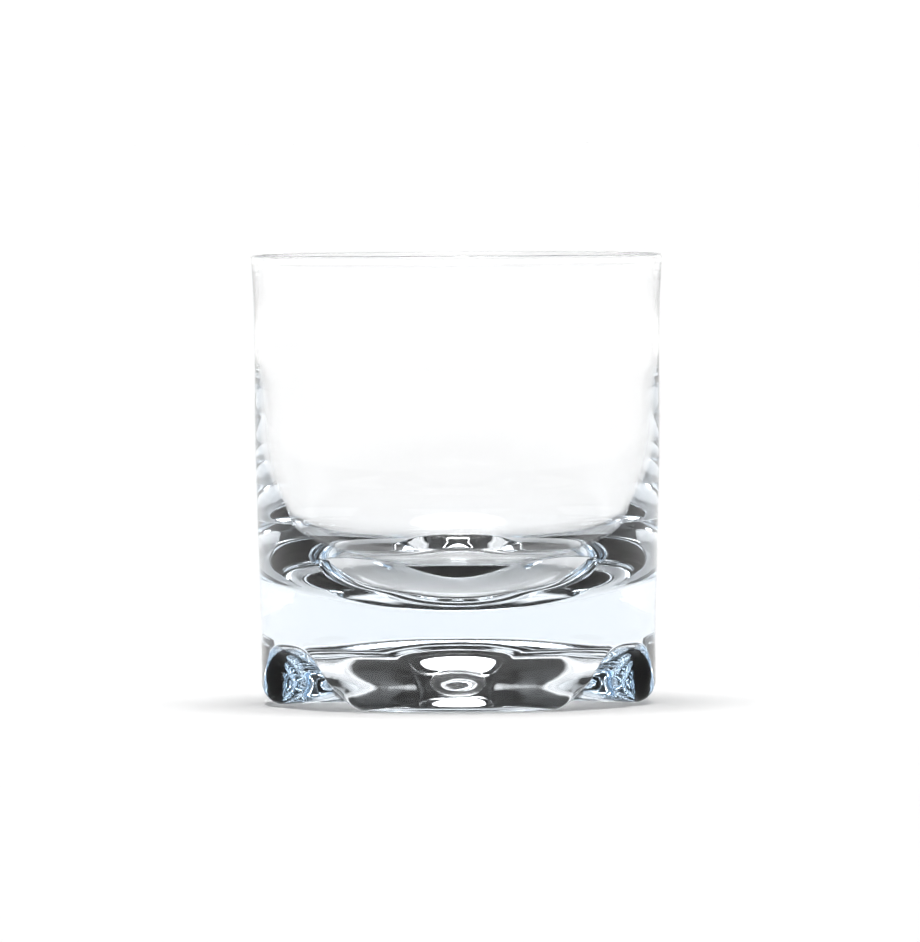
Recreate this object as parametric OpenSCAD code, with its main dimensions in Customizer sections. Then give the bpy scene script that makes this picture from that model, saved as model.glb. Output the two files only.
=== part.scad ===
// A low whiskey tumbler in one piece of clear glass, standing on three feet.
// Millimetres, +Z up. The origin is on the table, on the cup's axis, and one foot faces -Y.

/* [Cup] */
// Height from the table to the rim
height = 94; // [85:1:100]
// Outer diameter at the rim
rim_d = 86; // [82:1:90]
// Outer diameter of the straight waist under the flared lip
waist_d = 84.6; // [81:0.2:88]
// Height at which the lip starts to flare
flare_z = 82; // [76:1:84]
// Height below which the wall narrows towards the feet
taper_z = 54; // [40:1:60]
// Outer diameter round the feet
base_d = 82.4; // [79:0.2:86]
// Height of the upright band round the feet
band_z = 15; // [12:1:20]
// Thickness of the rounded lip
lip_t = 1.6; // [0.8:0.1:2]

/* [Drink space] */
// Height of the lowest point of the floor
floor_z = 20.2; // [18:0.2:26]
// Radius of curvature of the shallow floor
floor_r = 70; // [60:5:100]
// Slope of the floor where its round corner starts
floor_slope = 20; // [10:1:24]
// Slope of the side where the round corner ends
side_slope = 73; // [66:1:76]
// Radius of the long curve above the corner
side_r = 90; // [60:5:120]
// Slope of the straight upper wall
upper_slope = 84.4; // [82:0.2:87]
// Height at which the inside turns towards the lip
neck_z = 74; // [66:1:76]
// Inner diameter at that height
neck_d = 83; // [79:0.2:83.2]
// Radius of that turn
neck_r = 60; // [20:5:100]

/* [Feet] */
// Height of the arches that part the feet
arch_h = 12.3; // [9:0.1:14]
// Width of each arch, before its edges are rounded
arch_w = 31.6; // [24:0.2:34]
// How square the arches are: 2 gives a parabola
arch_power = 2.4; // [2:0.1:4]
// Height over which an arch runs out into the table
foot_round = 5; // [1:0.5:6]
// Height of the flat ceiling where the arches meet
hub_h = 13.5; // [12.5:0.1:14.5]
// Diameter at the table of the round hollow under it
hub_d = 39.6; // [36:0.2:44]
// Radius of the feet's outer bottom corner
foot_corner_r = 4.8; // [3:0.1:6]

/* [Hidden] */
feet = 3;
arc_steps = 12;
arch_steps = 24;
turn_fn = 96;
over = 2; // how far a cutter runs past the glass

rim_r = rim_d / 2;
waist_r = waist_d / 2;
base_r = base_d / 2;
lip_r = lip_t / 2;

// The way a round stretch goes between two slopes, for a radius of 1.
function turned(s0, s1) = [sin(s1) - sin(s0), cos(s0) - cos(s1)];

// A round stretch of the drink space from slope s0 to slope s1, which starts at p.
function bend(p, r, s0, s1) = [
    for (i = [1:arc_steps]) p + r * turned(s0, s0 + (s1 - s0) * i / arc_steps)
];

// The inside runs up from the floor: floor, corner, side, straight upper wall, neck, lip.
lip_in = [rim_r - lip_t, height - lip_r];
neck_top = [neck_d / 2, neck_z];
upper_way = [cos(upper_slope), sin(upper_slope)];
lip_slope = atan2(lip_in.y - neck_top.y, lip_in.x - neck_top.x);
floor_end = [0, floor_z] + floor_r * turned(0, floor_slope);
side_reach = side_r * turned(side_slope, upper_slope);
neck_reach = neck_r * turned(upper_slope, lip_slope);

// The corner's radius is what makes all these stretches meet.
gap = neck_top - floor_end - side_reach - neck_reach;
corner_way = turned(floor_slope, side_slope);
corner_r = cross(gap, upper_way) / cross(corner_way, upper_way);
corner_end = floor_end + corner_r * corner_way;

// Solid outline of the cup: a rounded foot corner, the narrowing wall and a rounded lip.
module outer_outline() {
    corner_x = base_r - foot_corner_r;
    polygon([
        [0, 0], [corner_x, 0], [base_r, foot_corner_r], [base_r, band_z], [waist_r, taper_z],
        [waist_r, flare_z], [rim_r, height - lip_r], [rim_r - lip_t, height - lip_r], [0, height - lip_r]
    ]);
    translate([corner_x, foot_corner_r]) circle(foot_corner_r, $fn = turn_fn);
    translate([rim_r - lip_r, height - lip_r]) circle(lip_r, $fn = turn_fn);
}

// Outline of the space for the drink, run up past the rim.
module drink_outline() {
    polygon(concat(
        [[0, floor_z]],
        bend([0, floor_z], floor_r, 0, floor_slope),
        bend(floor_end, corner_r, floor_slope, side_slope),
        bend(corner_end, side_r, side_slope, upper_slope),
        bend(neck_top - neck_reach, neck_r, upper_slope, lip_slope),
        [lip_in, [lip_in.x, height + over], [0, height + over]]
    ));
}

// Height of a hollow h high and 2 * half_w wide, x away from its middle: a curve that runs out
// smoothly into the table.
function hollow_z(h, half_w, power, x) =
    let (up = h * (1 - pow(x / half_w, power)), near = max(foot_round - abs(up), 0))
        max(up, 0) + near * near / foot_round / 4;

// Half of such a hollow's outline, from its middle to where it meets the table.
function hollow(h, half_w, power) = [
    for (i = [0:arch_steps]) let (x = half_w * pow(1 + foot_round / h, 1 / power) * i / arch_steps)
        [x, hollow_z(h, half_w, power, x)]
];
function mirrored(points) = [for (i = [len(points) - 1:-1:1]) [-points[i].x, points[i].y]];

// One arch, run from the axis out through the wall.
module arch() {
    half = hollow(arch_h, arch_w / 2, arch_power);
    reach = half[arch_steps].x;
    rotate([90, 0, 90])
        linear_extrude(height = base_r + over)
            polygon(concat(mirrored(half), half, [[reach, -over], [-reach, -over]]));
}

// The round hollow that blunts the inner ends of the feet, cut off flat at its ceiling.
module hub() {
    half = hollow(arch_h + foot_round / 2, hub_d / 2, 2);
    reach = half[arch_steps].x;
    rotate_extrude($fn = turn_fn)
        intersection() {
            polygon(concat([[0, -over]], half, [[reach, -over]]));
            translate([0, -2 * over]) square([reach, hub_h + 2 * over]);
        }
}

module glass_tumbler() {
    color("lightcyan", 0.6)
        difference() {
            rotate_extrude($fn = turn_fn) outer_outline();
            rotate_extrude($fn = turn_fn) drink_outline();
            for (i = [0:feet - 1]) rotate([0, 0, 90 + 360 / feet * i]) arch();
            hub();
        }
}

glass_tumbler();
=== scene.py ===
"""A whiskey tumbler in one piece of clear glass, on three feet. Metres, +Z up; one foot faces -Y."""
import math

import bpy
import numpy as np
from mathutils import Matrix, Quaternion, Vector


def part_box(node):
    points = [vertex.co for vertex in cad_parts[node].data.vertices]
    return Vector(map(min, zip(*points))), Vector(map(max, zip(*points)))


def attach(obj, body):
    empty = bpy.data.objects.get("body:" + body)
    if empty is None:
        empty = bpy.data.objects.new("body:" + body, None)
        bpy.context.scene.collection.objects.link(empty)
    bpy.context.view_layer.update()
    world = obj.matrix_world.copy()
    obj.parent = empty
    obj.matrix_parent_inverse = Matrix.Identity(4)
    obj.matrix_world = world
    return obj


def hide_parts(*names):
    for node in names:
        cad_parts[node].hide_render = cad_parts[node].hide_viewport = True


MM = 0.001
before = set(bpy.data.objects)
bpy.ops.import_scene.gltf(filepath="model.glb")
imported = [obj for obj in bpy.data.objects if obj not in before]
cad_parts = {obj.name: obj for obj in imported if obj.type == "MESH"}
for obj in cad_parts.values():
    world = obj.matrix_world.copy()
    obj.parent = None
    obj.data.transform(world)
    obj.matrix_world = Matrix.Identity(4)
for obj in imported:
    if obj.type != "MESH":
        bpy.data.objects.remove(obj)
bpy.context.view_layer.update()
low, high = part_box("glass_tumbler")

# ---------------------------------------------------------------- the glass's sizes, millimetres
HEIGHT = (high[2] - low[2]) / MM
RIM_R = (high[0] - low[0]) / 2 / MM
LIP_T = 1.6
# The drink space, from the middle of its floor up: arcs that end at a slope from level.
FLOOR_Z, FLOOR_R, FLOOR_SLOPE = 20.2, 70.0, 20.0
SIDE_SLOPE, SIDE_R, UPPER_SLOPE = 73.0, 90.0, 84.4
NECK_R, NECK = 60.0, np.array([41.5, 74.0])
# The underside: three arches run out from a flat hub, and leave three feet between them.
ARCH_H, ARCH_W, ARCH_BLEND = 12.3, 31.6, 9.0
# Towards the wall the arches grow squarer: how much, from and to which distance.
SQUARE, SQUARE_FROM, SQUARE_TO = 0.6, 24.0, 48.0
HUB_H, HUB_R, HUB_RISE, HUB_BLEND = 14.0, 8.0, 4.0, 4.5
FOOT_BLEND, FOOT_EDGE_R, ARCH_EDGE_R = 5.0, 4.8, 1.4
ARCHES = [math.radians(a) for a in (60, 180, 300)]
TURNS, UNDER_RINGS, EDGE_RINGS, WALL_RINGS, LIP_RINGS, CUP_RINGS = 384, 70, 14, 70, 10, 90


def soft_step(x, x0, x1):
    t = np.clip((x - x0) / (x1 - x0), 0, 1)
    return t * t * (3 - 2 * t)


def smooth_max(a, b, k):
    h = np.maximum(k - np.abs(a - b), 0) / k
    return np.maximum(a, b) + h * h * k / 4


def outer_radius(z):
    """The wall's outer radius: upright round the feet, then a taper, a waist and a flared lip."""
    zs = np.linspace(0, HEIGHT, 400)
    slope = 0.030 * soft_step(zs, 10, 22) * (1 - soft_step(zs, 44, 62))
    slope += 0.058 * soft_step(zs, 76, 88)
    r = np.concatenate([[0], np.cumsum((slope[1:] + slope[:-1]) / 2 * np.diff(zs))])
    return np.interp(z, zs, r + RIM_R - r[-1])


BASE_R = float(outer_radius(FOOT_EDGE_R))


def underside(r, turn):
    """Height of the glass's underside, where turn is 0 at the front foot's middle."""
    up = np.full(np.broadcast(r, turn).shape, -99.0)
    for a in ARCHES:
        along, across = r * np.cos(turn - a), r * np.sin(turn - a)
        d2 = across**2 + np.minimum(along, 0) ** 2
        power = 1 + SQUARE * soft_step(along, SQUARE_FROM, SQUARE_TO)
        up = smooth_max(up, ARCH_H * (1 - (d2 / (ARCH_W / 2) ** 2) ** power), ARCH_BLEND)
    roof = HUB_H + HUB_RISE * np.clip((r - HUB_R) / (BASE_R - HUB_R), 0, 2) ** 1.5
    up = -smooth_max(-up, -roof, HUB_BLEND)
    return smooth_max(up, 0.0, FOOT_BLEND)


def cup_profile():
    """The drink space from the lip's inner edge down to the middle of the floor."""
    def bend(r, s0, s1, n=60):
        s = np.radians(np.linspace(s0, s1, n + 1))
        return r * np.stack([np.sin(s) - np.sin(s[0]), np.cos(s[0]) - np.cos(s)], 1)

    lip = np.array([RIM_R - LIP_T, HEIGHT - LIP_T / 2])
    lip_slope = math.degrees(math.atan2(lip[1] - NECK[1], lip[0] - NECK[0]))
    way = np.array([math.cos(math.radians(UPPER_SLOPE)), math.sin(math.radians(UPPER_SLOPE))])
    floor = bend(FLOOR_R, 0, FLOOR_SLOPE) + [0, FLOOR_Z]
    corner = bend(1.0, FLOOR_SLOPE, SIDE_SLOPE)
    side = bend(SIDE_R, SIDE_SLOPE, UPPER_SLOPE)
    neck = bend(NECK_R, UPPER_SLOPE, lip_slope)
    gap = NECK - floor[-1] - side[-1] - neck[-1]
    corner_r, straight = np.linalg.solve(np.stack([corner[-1], way], 1), gap)
    corner = floor[-1] + corner_r * corner
    side = side + corner[-1]
    neck = neck + side[-1] + straight * way
    path = np.concatenate([floor, corner[1:], side[1:], neck, [lip]])
    gone = np.concatenate([[0], np.cumsum(np.linalg.norm(np.diff(path, axis=0), axis=1))])
    want = np.linspace(gone[-1], 0, CUP_RINGS + 1)
    return np.stack([np.interp(want, gone, path[:, k]) for k in (0, 1)], 1)


def glass_rings(turn):
    """Every ring of the closed surface, from the middle of the underside, up the wall and into the cup."""
    level = np.zeros_like(turn)
    edge = ARCH_EDGE_R + (FOOT_EDGE_R - ARCH_EDGE_R) * (1 - soft_step(underside(BASE_R, turn), 0, 6))
    inner = BASE_R - edge
    for i in range(1, UNDER_RINGS + 1):
        r = inner * i / UNDER_RINGS
        yield r, underside(r, turn)
    for i in range(1, EDGE_RINGS + 1):
        t = math.pi / 2 * i / EDGE_RINGS
        r = inner + edge * math.sin(t)
        z = underside(r, turn) + edge * (1 - math.cos(t))
        yield r, z
    lip_z = HEIGHT - LIP_T / 2
    for i in range(1, WALL_RINGS + 1):
        up = z + (lip_z - z) * i / WALL_RINGS
        yield outer_radius(up), up
    for i in range(1, LIP_RINGS):
        t = math.pi * i / LIP_RINGS
        yield RIM_R - LIP_T / 2 * (1 - math.cos(t)) + level, lip_z + LIP_T / 2 * math.sin(t) + level
    for r, z in cup_profile()[:-1]:
        yield r + level, z + level


def glass_mesh():
    turn = np.linspace(0, 2 * math.pi, TURNS, endpoint=False)
    rings = [np.stack([r * np.sin(turn), -r * np.cos(turn), z], 1) for r, z in glass_rings(turn)]
    first = [[0, 0, float(underside(0.0, 0.0))]]
    verts = np.concatenate([first, *rings, [[0, 0, FLOOR_Z]]])
    last = len(verts) - 1

    def at(ring, j):
        return 1 + ring * TURNS + j % TURNS

    faces = [(0, at(0, j + 1), at(0, j)) for j in range(TURNS)]
    for k in range(len(rings) - 1):
        faces += [(at(k, j), at(k, j + 1), at(k + 1, j + 1), at(k + 1, j)) for j in range(TURNS)]
    faces += [(at(len(rings) - 1, j), at(len(rings) - 1, j + 1), last) for j in range(TURNS)]
    mesh = bpy.data.meshes.new("tumbler")
    mesh.from_pydata((verts * MM + [0, 0, low[2]]).tolist(), [], faces)
    mesh.validate()
    mesh.shade_smooth()
    return mesh


# ---------------------------------------------------------------- node arithmetic
class Field:
    """A number that a node tree works out, with plain arithmetic."""

    def __init__(self, tree, socket):
        self.tree, self.socket = tree, socket

    def do(self, kind, *others, clamp=False):
        n = self.tree.nodes.new("ShaderNodeMath")
        n.operation, n.use_clamp = kind, clamp
        for socket, v in zip(n.inputs, (self, *others)):
            if isinstance(v, Field):
                self.tree.links.new(v.socket, socket)
            else:
                socket.default_value = v
        return Field(self.tree, n.outputs[0])

    def __add__(self, v):
        return self.do("ADD", v)

    def __sub__(self, v):
        return self.do("SUBTRACT", v)

    def __mul__(self, v):
        return self.do("MULTIPLY", v)

    def __truediv__(self, v):
        return self.do("DIVIDE", v)

    def top(self, v):
        return self.do("MAXIMUM", v)

    def below(self, edge, soft):
        """1 where this is under edge, 0 where it is over it, and soft wide between them."""
        return ((self - edge) / -soft).do("ADD", 0.5, clamp=True)

    def above(self, edge, soft):
        return ((self - edge) / soft).do("ADD", 0.5, clamp=True)


def fresh_tree(owner):
    owner.use_nodes = True
    owner.node_tree.nodes.clear()
    return owner.node_tree


# ---------------------------------------------------------------- material
# Faint waves that the mould leaves: their scale and detail, their depth in metres, and the wall's share.
WAVES = [(110.0, 1.0), (420.0, 2.0)]
WAVE_DEPTH, WALL_WAVE = 3e-5, 0.08


def glass_material():
    m = bpy.data.materials.new("clear_glass")
    t = fresh_tree(m)
    out = t.nodes.new("ShaderNodeOutputMaterial")
    glass = t.nodes.new("ShaderNodeBsdfGlass")
    glass.inputs["Roughness"].default_value = 0.0
    glass.inputs["IOR"].default_value = 1.5
    coord = t.nodes.new("ShaderNodeTexCoord")
    part = t.nodes.new("ShaderNodeSeparateXYZ")
    t.links.new(coord.outputs["Object"], part.inputs[0])
    height = Field(t, part.outputs["Z"])
    waves = []
    for scale, detail in WAVES:
        noise = t.nodes.new("ShaderNodeTexNoise")
        noise.inputs["Scale"].default_value = scale
        noise.inputs["Detail"].default_value = detail
        t.links.new(coord.outputs["Object"], noise.inputs["Vector"])
        waves.append(Field(t, noise.outputs["Fac"]))
    mould = height.below(0.016, 0.012) * (1 - WALL_WAVE) + WALL_WAVE
    bump = t.nodes.new("ShaderNodeBump")
    bump.inputs["Strength"].default_value = 1.0
    bump.inputs["Distance"].default_value = WAVE_DEPTH
    t.links.new(((waves[0] + waves[1] * 0.2) * mould).socket, bump.inputs["Height"])
    t.links.new(bump.outputs[0], glass.inputs["Normal"])
    t.links.new(glass.outputs[0], out.inputs["Surface"])
    depth = t.nodes.new("ShaderNodeVolumeAbsorption")
    depth.inputs["Color"].default_value = (0.55, 0.78, 0.97, 1.0)
    depth.inputs["Density"].default_value = 4.0
    t.links.new(depth.outputs[0], out.inputs["Volume"])
    return m


# ---------------------------------------------------------------- studio
# A soft white wall of light all round and a soft light overhead: their levels, and their edges in degrees up.
ROOM_LIGHT, WALL_LIGHT, TOP_LIGHT = 0.01, 1.15, 14.0
WALL_TOP, WALL_FADE = 10.0, 8.0
TOP_FROM, TOP_FADE = 74.0, 8.0
FLOOR_PALE = 0.9


def studio_lights():
    world = bpy.data.worlds.new("studio")
    bpy.context.scene.world = world
    t = fresh_tree(world)
    out = t.nodes.new("ShaderNodeOutputWorld")
    room = t.nodes.new("ShaderNodeBackground")
    room.inputs["Color"].default_value = (1.0, 1.0, 1.0, 1.0)
    coord = t.nodes.new("ShaderNodeTexCoord")
    part = t.nodes.new("ShaderNodeSeparateXYZ")
    t.links.new(coord.outputs["Generated"], part.inputs[0])
    rise = Field(t, part.outputs["Z"]).do("ARCSINE") * (180 / math.pi)
    wall = rise.below(WALL_TOP, WALL_FADE) * WALL_LIGHT
    top = rise.above(TOP_FROM, TOP_FADE) * TOP_LIGHT
    t.links.new((wall.top(top) + ROOM_LIGHT).socket, room.inputs["Strength"])
    t.links.new(room.outputs[0], out.inputs["Surface"])


def studio_floor():
    reach = 300.0
    corners = [(-reach, -reach, low[2]), (reach, -reach, low[2]), (reach, reach, low[2]), (-reach, reach, low[2])]
    mesh = bpy.data.meshes.new("floor")
    mesh.from_pydata(corners, [], [(0, 1, 2, 3)])
    floor = bpy.data.objects.new("floor", mesh)
    bpy.context.scene.collection.objects.link(floor)
    m = bpy.data.materials.new("floor")
    mesh.materials.append(m)
    t = fresh_tree(m)
    pale = t.nodes.new("ShaderNodeBsdfDiffuse")
    pale.inputs["Color"].default_value = (FLOOR_PALE, FLOOR_PALE, FLOOR_PALE, 1.0)
    out = t.nodes.new("ShaderNodeOutputMaterial")
    t.links.new(pale.outputs[0], out.inputs["Surface"])


def studio_camera():
    data = bpy.data.cameras.new("camera")
    data.sensor_width, data.lens = 36.0, 420.7
    data.clip_start, data.clip_end = 0.1, 600.0
    camera = bpy.data.objects.new("camera", data)
    bpy.context.scene.collection.objects.link(camera)
    camera.location = (0.0, -2.3, 0.118)
    way = Vector((0.0005, 0.0, 0.0486)) - camera.location
    tilt = Quaternion((0, 0, 1), math.radians(-0.31))
    camera.rotation_mode = "QUATERNION"
    camera.rotation_quaternion = way.to_track_quat("-Z", "Y") @ tilt
    bpy.context.scene.camera = camera


mesh = glass_mesh()
mesh.materials.append(glass_material())
tumbler = bpy.data.objects.new("tumbler", mesh)
bpy.context.scene.collection.objects.link(tumbler)
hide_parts("glass_tumbler")
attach(tumbler, "root")

studio_lights()
studio_floor()
studio_camera()

scene = bpy.context.scene
scene.view_settings.view_transform = "Standard"
scene.cycles.max_bounces = 24
scene.cycles.transmission_bounces = 24
scene.cycles.glossy_bounces = 24
